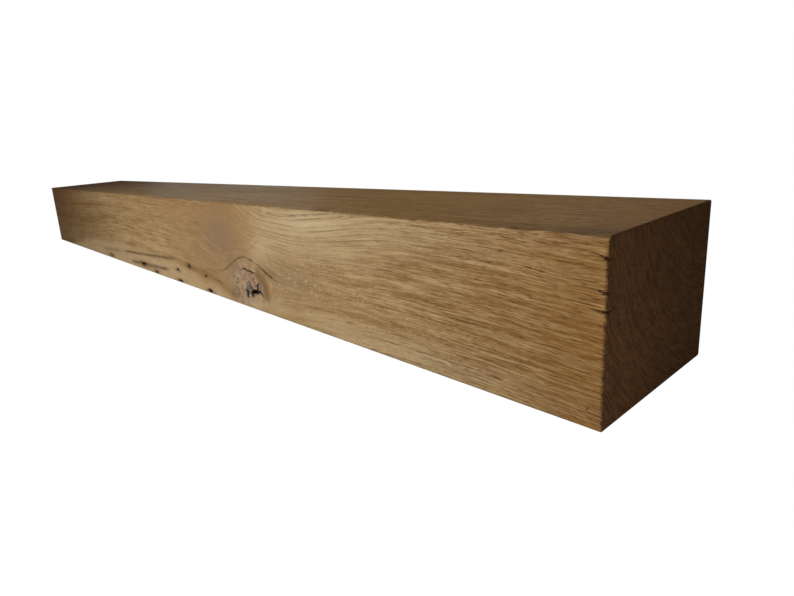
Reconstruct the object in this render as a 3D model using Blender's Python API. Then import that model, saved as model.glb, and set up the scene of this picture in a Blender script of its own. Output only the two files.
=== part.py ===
"""A solid oak beam for over a fireplace: one planed timber with a knot, cracks, worm holes and worn arrises.

The beam lies along X. Its show face looks towards -Y, its wall face towards +Y, and its underside
lies on Z = 0, with the origin in the middle of the underside. Every size is in metres.
A place on the show face is given as (along, up): along towards +X, and up towards +Z.
"""

import math
import random

import bmesh
import bpy

# The timber.
BEAM_LENGTH = 1.524
BEAM_DEPTH = 0.190
BEAM_HEIGHT = 0.145

# The arrises: how far each edge is rubbed round, and the waves (pitch, height, start) in the front top one.
LONG_EASE = 0.0014
FRONT_TOP_EASE = 0.0022
FRONT_TOP_WAVES = [(0.0470, 0.0006, 0.0), (0.0174, 0.0004, 1.0)]
END_EASE = 0.0010
CORNER_WEAR = 0.0030
CORNER_WEAR_RUN = 0.014
SPLINTER_FROM_END = 0.065
SPLINTER_DEPTH = 0.0030
SPLINTER_HALF_RUN = 0.008

# The loft that carries them.
STATION_SPACING = 0.021
FINE_SPACING = 0.004
ARC_STEPS = 3

# How far a cutter stands proud of the face that it cuts.
PROUD = 0.0015

# The knot on the show face. Its hollows are (along, up, half width, half height, depth, tilt in degrees)
# and its cracks are (width, depth, path), all from the knot's centre.
KNOT_FROM_END = 0.482
KNOT_UP = 0.0375
KNOT_HOLLOWS = {
    "middle": (0.0085, -0.0120, 0.0085, 0.0030, 0.012, 4),
    "left_lobe": (-0.0130, -0.0175, 0.0032, 0.0058, 0.009, 12),
    "low_lobe": (0.0005, -0.0165, 0.0048, 0.0036, 0.010, -15),
    "grey_lap": (-0.0085, -0.0090, 0.0075, 0.0052, 0.003, -38),
}
KNOT_CRACKS = {
    "upper_left": (0.0026, 0.009, [
        (-0.0068, 0.0012), (-0.0030, -0.0042), (0.0010, -0.0080), (0.0055, -0.0115),
    ]),
    "upper_right": (0.0030, 0.008, [
        (0.0196, 0.0018), (0.0152, -0.0026), (0.0160, -0.0058), (0.0125, -0.0112),
    ]),
    "right": (0.0028, 0.009, [
        (0.0120, -0.0110), (0.0215, -0.0105), (0.0262, -0.0131), (0.0312, -0.0156),
    ]),
    "inner_ring": (0.0024, 0.007, [
        (-0.0246, 0.0143), (-0.0172, 0.0179), (-0.0112, 0.0166), (-0.0040, 0.0151),
        (0.0045, 0.0147), (0.0130, 0.0143), (0.0182, 0.0120),
    ]),
    "outer_ring": (0.0020, 0.006, [
        (0.0155, 0.0296), (0.0289, 0.0239), (0.0397, 0.0192), (0.0506, 0.0157),
        (0.0601, 0.0123), (0.0680, 0.0106),
    ]),
}

# Worm holes and small pits: (along from the knot's centre, up from the underside, half width,
# half height, depth, tilt in degrees).
PITS = [
    (-0.4100, 0.0108, 0.0085, 0.0034, 0.007, 2),
    (-0.3460, 0.0034, 0.0050, 0.0026, 0.006, 0),
    (-0.2462, 0.0218, 0.0046, 0.0024, 0.006, 0),
    (-0.1988, 0.0338, 0.0050, 0.0033, 0.008, 0),
    (-0.2420, 0.0028, 0.0070, 0.0028, 0.006, 0),
    (-0.1393, 0.0264, 0.0042, 0.0018, 0.003, 0),
    (-0.1301, 0.0040, 0.0068, 0.0028, 0.006, 0),
]
PIT_SIDES = 10
PIT_LOBE = 0.14
# How the outline of a pit or hollow shrinks inwards: (share of its depth, share of its outline).
PIT_PROFILE = [(0.0, 1.0), (0.45, 0.8), (1.0, 0.35)]

# Width and depth of a crack at its two tips, as a share of its middle.
CRACK_TIP = 0.25

# Drying checks that run in from the right end: (down from the top at the tip, the same at the arris,
# run on the show face, width, run on the end).
END_CHECKS = [
    (0.0118, 0.0162, 0.0125, 0.0022, 0.012),
    (0.0378, 0.0401, 0.0105, 0.0016, 0.009),
    (0.0528, 0.0539, 0.0110, 0.0017, 0.015),
]
CHECK_TIP = 0.0003

# Small splinters torn from the arris between the show face and the right end, each from least to most:
# the length that one takes of the arris, the arris left whole after it, how far it reaches into either
# face, and where along its length it is deepest.
TEAR_RUN = (0.0018, 0.0062)
TEAR_GAP = (0.0006, 0.0065)
TEAR_REACH = (0.0011, 0.0021)
TEAR_PEAK = (0.25, 0.70)
TEAR_TIP = 0.15
TEAR_SEED = 11

# The oiled oak.
OAK_COLOUR = (0.33, 0.20, 0.085, 1.0)
OAK_ROUGHNESS = 0.55
OAK_METALLIC = 0.0


def clear_scene():
    for old in list(bpy.data.objects):
        bpy.data.objects.remove(old, do_unlink=True)


def material(name, colour, roughness, metallic):
    made = bpy.data.materials.new(name)
    made.use_nodes = True
    shader = made.node_tree.nodes["Principled BSDF"]
    shader.inputs["Base Color"].default_value = colour
    shader.inputs["Roughness"].default_value = roughness
    shader.inputs["Metallic"].default_value = metallic
    return made


def lofted(name, shells):
    """An object of closed shells, each skinned over its own list of rings and capped at both ends."""
    model = bmesh.new()
    for rings in shells:
        rows = [[model.verts.new(point) for point in ring] for ring in rings]
        for low, high in zip(rows, rows[1:]):
            for i in range(len(low)):
                j = (i + 1) % len(low)
                model.faces.new((low[i], low[j], high[j], high[i]))
        model.faces.new(reversed(rows[0]))
        model.faces.new(rows[-1])
    bmesh.ops.recalc_face_normals(model, faces=model.faces)
    mesh = bpy.data.meshes.new(name)
    model.to_mesh(mesh)
    model.free()
    made = bpy.data.objects.new(name, mesh)
    bpy.context.scene.collection.objects.link(made)
    return made


def cut(body, cutter):
    """Takes the cutter's shape out of the body."""
    cutter.hide_render = True
    cutter.display_type = "WIRE"
    boolean = body.modifiers.new(cutter.name, "BOOLEAN")
    boolean.operation = "DIFFERENCE"
    boolean.solver = "EXACT"
    boolean.object = cutter


def tent(distance, half_run):
    """1 at distance 0, falling in a straight line to 0 at half_run on either side."""
    return max(0.0, 1.0 - abs(distance) / half_run)


def front_top_ease(from_end):
    """Rounding of the front top arris at a distance from the right end.

    Two waves of unlike length make it wander, a splinter is missing near the end, and the corner is worn."""
    ease = FRONT_TOP_EASE
    for pitch, height, start in FRONT_TOP_WAVES:
        ease += height * math.sin(2 * math.pi * from_end / pitch + start)
    ease += SPLINTER_DEPTH * tent(from_end - SPLINTER_FROM_END, SPLINTER_HALF_RUN)
    return ease + CORNER_WEAR * tent(from_end, CORNER_WEAR_RUN) ** 2


def fine_places(middle, half_run):
    """Closely spaced places along the beam, on either side of the middle of a worn spot."""
    steps = math.ceil(half_run / FINE_SPACING)
    return [middle + FINE_SPACING * i for i in range(-steps, steps + 1)]


def stations():
    """Places along the beam that get a section, as (x, how far the section is drawn in at the ends)."""
    half = BEAM_LENGTH / 2
    count = round(BEAM_LENGTH / STATION_SPACING)
    even = [-half + BEAM_LENGTH * i / count for i in range(1, count)]
    fine = fine_places(half - SPLINTER_FROM_END, SPLINTER_HALF_RUN) + fine_places(half, CORNER_WEAR_RUN)
    even = [x for x in even if all(abs(x - other) > FINE_SPACING / 2 for other in fine)]
    found = [(x, 0.0) for x in even + fine if abs(x) < half - END_EASE - FINE_SPACING / 2]
    for step in range(ARC_STEPS + 1):
        turn = math.pi / 2 * step / ARC_STEPS
        x = half - END_EASE * (1 - math.sin(turn))
        drawn_in = END_EASE * (1 - math.cos(turn))
        found += [(x, drawn_in), (-x, drawn_in)]
    return sorted(found)


def section(x, drawn_in):
    """The beam's outline at x: a rectangle with each corner turned on its own radius."""
    front, back = -BEAM_DEPTH / 2 + drawn_in, BEAM_DEPTH / 2 - drawn_in
    low, high = drawn_in, BEAM_HEIGHT - drawn_in
    top_ease = front_top_ease(BEAM_LENGTH / 2 - x)
    corners = [
        (front, low, -1, -1, LONG_EASE, 180),
        (back, low, 1, -1, LONG_EASE, 270),
        (back, high, 1, 1, LONG_EASE, 0),
        (front, high, -1, 1, top_ease, 90),
    ]
    ring = []
    for y, z, toward_y, toward_z, ease, start in corners:
        for step in range(ARC_STEPS + 1):
            angle = math.radians(start + 90 * step / ARC_STEPS)
            centre_y, centre_z = y - toward_y * ease, z - toward_z * ease
            ring.append((x, centre_y + ease * math.cos(angle), centre_z + ease * math.sin(angle)))
    return ring


def knot_place(along, up):
    """A place given from the knot's centre, as X and Z."""
    return BEAM_LENGTH / 2 - KNOT_FROM_END + along, KNOT_UP + up


def pit_rings(x, z, half_width, half_height, depth, tilt):
    """A lobed oval that narrows from the show face inwards, for a worm hole or a hollow."""
    face = -BEAM_DEPTH / 2
    turn = math.radians(tilt)
    levels = [(-PROUD, 1.0)] + [(inward * depth, share) for inward, share in PIT_PROFILE]
    rings = []
    for y, share in levels:
        ring = []
        for i in range(PIT_SIDES):
            angle = 2 * math.pi * i / PIT_SIDES
            lobe = share * (1 + PIT_LOBE * math.sin(3 * angle + x / half_width))
            across, rise = half_width * lobe * math.cos(angle), half_height * lobe * math.sin(angle)
            ring.append((
                x + across * math.cos(turn) - rise * math.sin(turn),
                face + y,
                z + across * math.sin(turn) + rise * math.cos(turn),
            ))
        rings.append(ring)
    return rings


def crack_rings(path, width, depth):
    """A wedge along a path of (X, Z) points on the show face, open at the face and closing at its root."""
    face = -BEAM_DEPTH / 2
    rings = []
    for i, (x, z) in enumerate(path):
        before, after = path[max(i - 1, 0)], path[min(i + 1, len(path) - 1)]
        run, rise = after[0] - before[0], after[1] - before[1]
        length = math.hypot(run, rise)
        taper = CRACK_TIP + (1 - CRACK_TIP) * math.sin(math.pi * i / (len(path) - 1))
        side_x, side_z = -rise / length * width / 2 * taper, run / length * width / 2 * taper
        rings.append([
            (x + side_x, face - PROUD, z + side_z),
            (x - side_x, face - PROUD, z - side_z),
            (x - side_x, face, z - side_z),
            (x, face + depth * taper, z),
            (x + side_x, face, z + side_z),
        ])
    return rings


def check_rings(down_tip, down_arris, run, width, end_run):
    """A drying check: a thin wedge round the front right arris, widest at the arris."""
    face, end = -BEAM_DEPTH / 2, BEAM_LENGTH / 2
    tip, arris = BEAM_HEIGHT - down_tip, BEAM_HEIGHT - down_arris
    corners = [
        (end - run, face - PROUD, tip, CHECK_TIP),
        (end + PROUD, face - PROUD, arris, width),
        (end + PROUD, face + end_run, arris, CHECK_TIP),
    ]
    return [[(x, y, z + side * thick / 2) for x, y, z, thick in corners] for side in (-1, 1)]


def tear_shells():
    """Spindles up the front right arris, where splinters have torn out, of unlike size and spacing."""
    face, end = -BEAM_DEPTH / 2, BEAM_LENGTH / 2
    chance = random.Random(TEAR_SEED)
    shells = []
    z = LONG_EASE + chance.uniform(*TEAR_GAP)
    while z + TEAR_RUN[1] < BEAM_HEIGHT - FRONT_TOP_EASE - CORNER_WEAR:
        run, reach, peak = (chance.uniform(*spread) for spread in (TEAR_RUN, TEAR_REACH, TEAR_PEAK))
        rings = []
        for share, size in ((0.0, TEAR_TIP * reach), (peak, reach), (1.0, TEAR_TIP * reach)):
            level = z + share * run
            rings.append([
                (end + size, face, level),
                (end, face + size, level),
                (end - size, face, level),
                (end, face - size, level),
            ])
        shells.append(rings)
        z += run + chance.uniform(*TEAR_GAP)
    return shells


def make_beam():
    beam = lofted("oak_beam", [[section(x, drawn_in) for x, drawn_in in stations()]])
    beam.data.materials.append(material("oiled_oak", OAK_COLOUR, OAK_ROUGHNESS, OAK_METALLIC))
    return beam


def cut_knot(beam):
    for name, (along, up, *size) in KNOT_HOLLOWS.items():
        cut(beam, lofted("knot_" + name, [pit_rings(*knot_place(along, up), *size)]))
    for name, (width, depth, path) in KNOT_CRACKS.items():
        places = [knot_place(along, up) for along, up in path]
        cut(beam, lofted("crack_" + name, [crack_rings(places, width, depth)]))


def cut_pits(beam):
    shells = []
    for along, up, *size in PITS:
        x, _ = knot_place(along, 0.0)
        shells.append(pit_rings(x, up, *size))
    cut(beam, lofted("pits", shells))


def cut_right_end(beam):
    cut(beam, lofted("end_checks", [check_rings(*check) for check in END_CHECKS]))
    cut(beam, lofted("torn_arris", tear_shells()))


def main():
    clear_scene()
    beam = make_beam()
    cut_knot(beam)
    cut_pits(beam)
    cut_right_end(beam)


main()
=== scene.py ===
# %% [markdown]
# # A fireplace mantel: one solid oak beam
#
# The object is a single heavy oak timber, planed square, oiled, and fixed over a fireplace as a shelf. It has
# no carving, so all that makes it worth looking at is the wood: the run of the grain, one big knot with an
# open hollow, worm holes along the lower edge, drying checks and a torn arris at the right end.
#
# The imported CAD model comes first. It is the frame that everything else is measured from.

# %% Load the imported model
import math
import random

import bpy
import numpy as np
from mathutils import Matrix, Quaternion, Vector


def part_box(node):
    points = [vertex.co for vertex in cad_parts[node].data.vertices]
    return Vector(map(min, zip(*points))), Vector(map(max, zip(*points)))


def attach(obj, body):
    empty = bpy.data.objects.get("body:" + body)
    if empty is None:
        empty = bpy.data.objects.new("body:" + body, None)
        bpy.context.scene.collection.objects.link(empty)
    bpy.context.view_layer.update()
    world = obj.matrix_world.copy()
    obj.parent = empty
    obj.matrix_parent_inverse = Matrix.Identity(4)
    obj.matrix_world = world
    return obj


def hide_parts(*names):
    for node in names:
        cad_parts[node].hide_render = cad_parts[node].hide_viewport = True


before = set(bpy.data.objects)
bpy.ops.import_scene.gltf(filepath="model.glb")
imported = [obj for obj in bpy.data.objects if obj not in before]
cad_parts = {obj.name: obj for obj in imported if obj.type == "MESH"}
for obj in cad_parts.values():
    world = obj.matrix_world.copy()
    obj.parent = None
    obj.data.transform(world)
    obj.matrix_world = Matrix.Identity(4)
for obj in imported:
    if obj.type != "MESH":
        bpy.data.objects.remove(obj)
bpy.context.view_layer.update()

# %% [markdown]
# ## Units and places
#
# Grain, pores and cracks are known in millimetres, so the sums are done in millimetres and turned to metres
# only when the mesh is made. A place in the timber is (along, behind, up): along from the left end, behind
# the show face, and up from the underside. The three sizes come from the CAD node's own box.

# %% Sizes from the frame
MM = 0.001
lowest, highest = (np.array(corner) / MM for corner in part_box("oak_beam"))
LENGTH, DEPTH, HEIGHT = (float(size) for size in highest - lowest)
print(f"beam {LENGTH:.0f} x {DEPTH:.0f} x {HEIGHT:.0f} mm")

# %% [markdown]
# ## Camera
#
# The picture was taken close to the right end, a little above the top, with the camera slightly tilted about
# its own axis. Turn is the direction that it looks from, where 0 is straight at the show face and 90 straight
# at the right end. The lens shift is there because the lens doesn't point at the middle of the picture.

# %% Make the camera
CAMERA_PLACE = (0.9272, -0.458, 0.221)
CAMERA_TURN = 51.22
CAMERA_RISE = 13.68
CAMERA_ROLL = -4.33
CAMERA_LENS = 24.987
CAMERA_SHIFT = (0.0718, -0.0327)

turn, rise = math.radians(CAMERA_TURN), math.radians(CAMERA_RISE)
look = Vector((-math.sin(turn) * math.cos(rise), math.cos(turn) * math.cos(rise), -math.sin(rise)))
camera = bpy.data.objects.new("camera", bpy.data.cameras.new("camera"))
camera.location = CAMERA_PLACE
camera.rotation_mode = "QUATERNION"
camera.rotation_quaternion = (
    look.to_track_quat("-Z", "Y") @ Quaternion((0, 0, 1), math.radians(CAMERA_ROLL))
)
camera.data.sensor_width = 36
camera.data.lens = CAMERA_LENS
camera.data.shift_x, camera.data.shift_y = CAMERA_SHIFT
camera.data.clip_start, camera.data.clip_end = 0.01, 50
scene = bpy.context.scene
scene.collection.objects.link(camera)
scene.camera = camera
print("camera looks along", tuple(round(part, 3) for part in look))

# %% [markdown]
# ## A few curves that the rest is made of
#
# Wood has no straight lines, but nearly everything in it can be put together from four simple curves: a bell,
# a soft step, a smoothed line through a few points, and a sum of waves for what looks like chance.

# %% Curves
def bell(distance, run):
    """1 at distance 0, falling smoothly: e to the power of minus (distance over run) squared."""
    return np.exp(-(distance / run) ** 2)


def soft_step(value, start, end):
    """0 at start and 1 at end, with an S-shaped rise between them: 3 t squared less 2 t cubed.

    Where end is less than start, it falls instead."""
    share = np.clip((value - start) / (end - start), 0, 1)
    return share * share * (3 - 2 * share)


def eased(place, points, blend):
    """The height at each place of a line through the points, with its corners smoothed.

    The line is read at nine places spread over the blend length to either side, and a mean is taken that
    counts the nearest the most."""
    places, heights = zip(*points)
    shifts = np.linspace(-blend, blend, 9)
    weights = bell(shifts, blend / 1.7)
    total = sum(weight * np.interp(place + shift, places, heights) for shift, weight in zip(shifts, weights))
    return total / weights.sum()


def waves(seed, lengths, *axes):
    """Smooth chance between about -1 and 1: sine waves added up, each of a random direction and start.

    Lengths has a shortest and a longest wave for each axis."""
    chance = np.random.default_rng(seed)
    count = 9
    total = 0
    for _ in range(count):
        phase = chance.uniform(0, 2 * math.pi)
        for axis, (short, long) in zip(axes, lengths):
            pitch = math.exp(chance.uniform(math.log(short), math.log(long)))
            phase = phase + chance.choice([-1, 1]) * 2 * math.pi * axis / pitch
        total = total + np.sin(phase)
    return total / math.sqrt(count * 1.5)


# %% Distance to a path
def near_path(along, up, path):
    """For each point of the show face: its distance to a path, and the share of the path passed there.

    Each straight run of the path is tried in turn. The nearest place on a run is the point's shadow on it,
    kept between the run's two ends."""
    path = np.array(path, float)
    steps = np.diff(path, axis=0)
    runs = np.hypot(*steps.T)
    before = np.concatenate([[0], np.cumsum(runs)])
    nearest, share = np.full(along.shape, np.inf), np.zeros(along.shape)
    for (start_along, start_up), (step_along, step_up), run, passed in zip(path, steps, runs, before):
        across, rise = along - start_along, up - start_up
        shadow = np.clip((across * step_along + rise * step_up) / run ** 2, 0, 1)
        distance = np.hypot(across - shadow * step_along, rise - shadow * step_up)
        closer = distance < nearest
        nearest = np.where(closer, distance, nearest)
        share = np.where(closer, (passed + shadow * run) / before[-1], share)
    return nearest, share


# %% [markdown]
# ## The knot, the holes and the cracks
#
# A branch once grew out towards the show face. Its heart has rotted into an open hollow with cracks that run
# out of it, and where the branch's rings meet the trunk's there are two curved cracks above it. Beetles left
# small oval holes along the lower edge. The places are those that the CAD solid is cut at, so the mesh here
# and the solid agree. All of them are in millimetres.

# %% The knot's hollows and cracks
KNOT_ALONG, KNOT_UP = LENGTH - 482.0, 37.5

# From the knot's centre: (along, up, half width, half height, depth, tilt in degrees). The second one is less
# deep than in the solid, so that light reaches its grey floor.
KNOT_HOLLOWS = [
    (8.5, -12.0, 8.5, 3.0, 12.0, 4),
    (-13.0, -17.5, 3.2, 5.8, 3.5, 12),
    (0.5, -16.5, 4.8, 3.6, 10.0, -15),
]

# The flat step of grey wood beside them, given in the same way.
KNOT_LAP = (-8.5, -9.0, 7.5, 5.2, 3.0, -38)

# From the knot's centre: (width, depth, path).
KNOT_CRACKS = [
    (2.6, 9.0, [(-6.8, 1.2), (-3.0, -4.2), (1.0, -8.0), (5.5, -11.5)]),
    (3.0, 8.0, [(19.6, 1.8), (15.2, -2.6), (16.0, -5.8), (12.5, -11.2)]),
    (2.8, 9.0, [(12.0, -11.0), (21.5, -10.5), (26.2, -13.1), (31.2, -15.6)]),
    (2.4, 7.0, [(-24.6, 14.3), (-17.2, 17.9), (-11.2, 16.6), (-4.0, 15.1), (4.5, 14.7), (13.0, 14.3),
                (18.2, 12.0)]),
    (2.0, 6.0, [(15.5, 29.6), (28.9, 23.9), (39.7, 19.2), (50.6, 15.7), (60.1, 12.3), (68.0, 10.6)]),
]

knot_hollows = [(KNOT_ALONG + along, KNOT_UP + up, *size) for along, up, *size in KNOT_HOLLOWS]
knot_cracks = [
    (width, depth, [(KNOT_ALONG + along, KNOT_UP + up) for along, up in path])
    for width, depth, path in KNOT_CRACKS
]
print(len(knot_hollows), "hollows and", len(knot_cracks), "cracks in the knot")

# %% Worm holes, pin holes and drying checks
# Worm holes: (along from the knot's centre, up from the underside, half width, half height, depth, tilt).
WORM_HOLES = [
    (-410.0, 10.8, 8.5, 3.4, 7.0, 2),
    (-346.0, 3.4, 5.0, 2.6, 6.0, 0),
    (-246.2, 21.8, 4.6, 2.4, 6.0, 0),
    (-198.8, 33.8, 5.0, 3.3, 8.0, 0),
    (-242.0, 2.8, 7.0, 2.8, 6.0, 0),
    (-139.3, 26.4, 4.2, 1.8, 3.0, 0),
    (-130.1, 4.0, 6.8, 2.8, 6.0, 0),
]

# Pin holes in the knot, too small for the solid: (along and up from its centre, radius).
PIN_HOLES = [
    (6.8, 5.8, 1.2), (10.3, 1.6, 1.3), (-45.6, 1.4, 1.5), (-35.8, -0.6, 1.3), (-38.6, -6.7, 1.1),
    (-43.3, -14.9, 1.4), (-35.5, -16.8, 1.1), (-36.1, -22.6, 1.2), (-31.0, -26.7, 1.3), (11.0, -3.6, 1.2),
    (-27.0, -9.0, 1.0), (22.5, -3.5, 1.1),
]

# Drying checks round the right end's front arris: (down from the top at the tip, the same at the arris,
# run on the show face, width, run on the end).
END_CHECKS = [
    (11.8, 16.2, 12.5, 2.2, 12.0),
    (37.8, 40.1, 10.5, 1.6, 9.0),
    (52.8, 53.9, 11.0, 1.7, 15.0),
]

worm_holes = [(KNOT_ALONG + along, up, *size) for along, up, *size in WORM_HOLES]
print(len(worm_holes), "worm holes,", len(PIN_HOLES), "pin holes,", len(END_CHECKS), "checks")

# %% [markdown]
# ## Where the mesh needs to be fine
#
# The skin of the timber is one surface of two parameters: the first runs from the middle of the left end,
# over the arris, along the beam and back to the middle of the right end; the second goes once round the
# section. A crack two millimetres wide needs close points, but a plain stretch doesn't. So the points along
# each parameter crowd together where there is something to carry.

# %% Crowd the grid lines
def crowded(end, plain, zones):
    """Places from 0 to end, about plain apart, but closer in each zone of (from, to, spacing).

    The number of places per millimetre is summed along the way, and a place is put wherever the sum has grown
    by one more equal share."""
    fine = np.linspace(0, end, int(end / 0.05) + 1)
    per_mm = np.full_like(fine, 1 / plain)
    for start, stop, spacing in zones:
        edge = 4 * spacing
        inside = soft_step(fine, start - edge, start) * (1 - soft_step(fine, stop, stop + edge))
        per_mm = np.maximum(per_mm, inside / spacing)
    total = np.concatenate([[0], np.cumsum((per_mm[1:] + per_mm[:-1]) / 2 * np.diff(fine))])
    return np.interp(np.linspace(0, total[-1], math.ceil(total[-1]) + 1), total, fine)


ARRIS = 2.0


def arris_zones(end):
    """The two rounded arrises at either end of a side, for crowded."""
    return [(0, ARRIS, 0.7), (end - ARRIS, end, 0.7)]


# %% Lay out the grid
stations = crowded(LENGTH, 5.6, [
    *arris_zones(LENGTH),
    (KNOT_ALONG - 62, KNOT_ALONG + 72, 1.0),
    *[(hole[0] - hole[2] - 1, hole[0] + hole[2] + 1, 1.2) for hole in worm_holes],
    (LENGTH - 20, LENGTH, 0.9),
    (LENGTH - 76, LENGTH - 54, 1.6),
])
front = crowded(HEIGHT, 2.6, [
    (0, ARRIS, 0.6), (0, KNOT_UP + 38, 1.2), (HEIGHT - 4, HEIGHT, 0.7),
    *[(HEIGHT - arris - 1.0, HEIGHT - tip + 1.0, 0.8) for tip, arris, *_ in END_CHECKS],
])
top = crowded(DEPTH, 14, [(0, 4, 0.8), (DEPTH - ARRIS, DEPTH, 0.7)])
back = crowded(HEIGHT, 20, arris_zones(HEIGHT))
under = crowded(DEPTH, 16, arris_zones(DEPTH))

# Once round the section: up the show face, back over the top, down the wall face, forward underneath.
loop_back = np.concatenate([0 * front[:-1], top[:-1], 0 * back[:-1] + DEPTH, under[:0:-1]])
loop_up = np.concatenate([front[:-1], 0 * top[:-1] + HEIGHT, back[:0:-1], 0 * under[:-1]])

# The caps: shares of the full section, from just inside the arris to just short of the middle.
cap_steps = crowded(HEIGHT / 2, 5, [(0, ARRIS, 0.5), (0, 16, 1.6)])[1:-1]
right_shares = 1 - cap_steps / (HEIGHT / 2)
left_shares = right_shares[::2][::-1]
row_along = np.concatenate([0 * left_shares, stations, 0 * right_shares + LENGTH])
row_share = np.concatenate([left_shares, 0 * stations + 1, right_shares])
print(f"{len(row_along)} rows of {len(loop_up)} points")

# %% [markdown]
# ## The squared timber
#
# A planed beam still has slightly rounded arrises. This one's front top arris wanders, has lost a splinter
# and is worn at its corner. A rounded edge can be worked out without any arcs: take the point on the sharp
# edge, find the nearest point of a core that is smaller by the rounding, and put the point at the rounding's
# distance from it. It is done once for the four long arrises, and once more for those round the ends.

# %% Round the arrises
LONG_EASE = 1.4
END_EASE = 1.0
FRONT_TOP_EASE = 2.2
FRONT_TOP_WAVES = [(47.0, 0.6, 0.0), (17.4, 0.4, 1.0)]
SPLINTER_FROM_END, SPLINTER_DEPTH, SPLINTER_HALF_RUN = 65.0, 3.0, 8.0
CORNER_WEAR, CORNER_WEAR_RUN = 3.0, 14.0


def front_top_ease(along):
    """Rounding of the front top arris: a fixed part, two waves, a lost splinter and the worn corner."""
    from_end = LENGTH - along
    ease = FRONT_TOP_EASE + 0 * along
    for pitch, height, start in FRONT_TOP_WAVES:
        ease = ease + height * np.sin(2 * np.pi * from_end / pitch + start)
    ease += SPLINTER_DEPTH * np.clip(1 - abs(from_end - SPLINTER_FROM_END) / SPLINTER_HALF_RUN, 0, 1)
    return ease + CORNER_WEAR * np.clip(1 - from_end / CORNER_WEAR_RUN, 0, 1) ** 2


def timber(along, share, loop_back, loop_up):
    """The timber's skin as (place, outward), from a row's place and share and a place round the section.

    First the section's corners are rounded: core is the point kept at least ease inside the outline, and the
    skin lies at ease from it. Then the ends: with depth_in measured from the end face and side_in from the
    sides, the same is done to the edge that the two meet in."""
    ease = np.where((loop_back < DEPTH / 2) & (loop_up > HEIGHT / 2), front_top_ease(along), LONG_EASE)
    core_back = np.clip(loop_back, ease, DEPTH - ease)
    core_up = np.clip(loop_up, ease, HEIGHT - ease)
    reach = np.hypot(loop_back - core_back, loop_up - core_up)
    out_back, out_up = (loop_back - core_back) / reach, (loop_up - core_up) / reach
    side_back, side_up = core_back + ease * out_back, core_up + ease * out_up

    middle = DEPTH / 2, HEIGHT / 2
    side_in = (1 - share) * (abs(out_back) * DEPTH + abs(out_up) * HEIGHT) / 2
    depth_in = np.minimum(along, LENGTH - along)
    core_side, core_depth = np.maximum(side_in, END_EASE), np.maximum(depth_in, END_EASE)
    near = (side_in < END_EASE) & (depth_in < END_EASE)
    reach = np.where(near, np.hypot(core_side - side_in, core_depth - depth_in), 1)
    out_side = np.where(near, (core_side - side_in) / reach, depth_in >= END_EASE)
    out_end = np.where(near, (core_depth - depth_in) / reach, depth_in < END_EASE)
    new_side = np.where(near, core_side - END_EASE * out_side, side_in)
    new_depth = np.where(near, core_depth - END_EASE * out_end, depth_in)

    toward = np.where(along > LENGTH / 2, 1, -1)
    place = np.stack([
        np.where(toward > 0, LENGTH - new_depth, new_depth),
        middle[0] + share * (side_back - middle[0]) - (new_side - side_in) * out_back,
        middle[1] + share * (side_up - middle[1]) - (new_side - side_in) * out_up,
    ], axis=-1)
    outward = np.stack([toward * out_end, out_side * out_back, out_side * out_up], axis=-1)
    return place, outward


# %% Place the skin
shape = (len(row_along), len(loop_up))
grid = [np.broadcast_to(axis[:, None], shape) for axis in (row_along, row_share)]
grid += [np.broadcast_to(axis[None, :], shape) for axis in (loop_back, loop_up)]
place, outward = timber(*grid)
along, behind, up = np.moveaxis(place, -1, 0)
on_front = np.clip(-outward[..., 1], 0, 1) ** 2
on_end = np.abs(outward[..., 0]) ** 2
print("skin from", place.min((0, 1)).round(2), "to", place.max((0, 1)).round(2))

# %% [markdown]
# ## Cutting the hollows, holes and cracks
#
# In a solid modeller these would be cut away, but on one grid it is enough to push the skin inwards: a depth
# is worked out for every point. A hollow is a lobed oval that goes down steeply at its rim. A crack is a
# wedge along a path, widest and deepest in its middle. What is sunk this way is also painted darker later
# on, the deeper the darker, as painted shade in the recesses.

# %% Shapes of the openings
LOBE = 0.14
HOLLOW_SHARES, HOLLOW_DEPTHS = [0.35, 0.8, 1.05], [1.0, 0.45, 0.0]
CRACK_TIP, CRACK_WEDGE = 0.25, 0.62
CHECK_DEPTH, CHECK_HALF, CHECK_TIP = 4.0, 0.3, 0.3


def hollow_depth(along, up, middle_along, middle_up, half_width, half_height, depth, tilt):
    """How deep a lobed oval hollow is: all of its depth in the inner third, and none at the rim.

    Share is 0 at the middle and 1 on the oval, and three lobes push the oval out and in."""
    lean = math.radians(tilt)
    across, rise = along - middle_along, up - middle_up
    width_share = (across * math.cos(lean) + rise * math.sin(lean)) / half_width
    height_share = (rise * math.cos(lean) - across * math.sin(lean)) / half_height
    angle = np.arctan2(height_share, width_share)
    share = np.hypot(width_share, height_share) / (1 + LOBE * np.sin(3 * angle + middle_along / half_width))
    return depth * np.interp(share, HOLLOW_SHARES, HOLLOW_DEPTHS)


def crack_depth(along, up, width, depth, path):
    """How deep a crack is: a wedge along its path, whose width and depth swell and shrink as half a sine."""
    distance, share = near_path(along, up, path)
    taper = CRACK_TIP + (1 - CRACK_TIP) * np.sin(np.pi * share)
    return depth * taper * np.clip(1 - distance / (CRACK_WEDGE * width * taper), 0, 1)


def check_depth(distance, up, run, line_start, line_end, width):
    """How deep a drying check is at a distance from the arris: a wedge that closes at its tip."""
    share = np.clip(distance / run, 0, 1)
    middle = line_start + (line_end - line_start) * share
    half_width = CHECK_HALF * width * (1 - share) + CHECK_TIP
    return CHECK_DEPTH * (1 - share) * np.clip(1 - abs(up - middle) / half_width, 0, 1)


# %% Depth of the openings
# Ragged is how far their outlines wander. A check is cut only this near to its own face.
RAGGED, CHECK_NEAR = 0.55, 3.0
PIN_DEPTH, PIN_RIM = 1.6, 1.3

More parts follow.
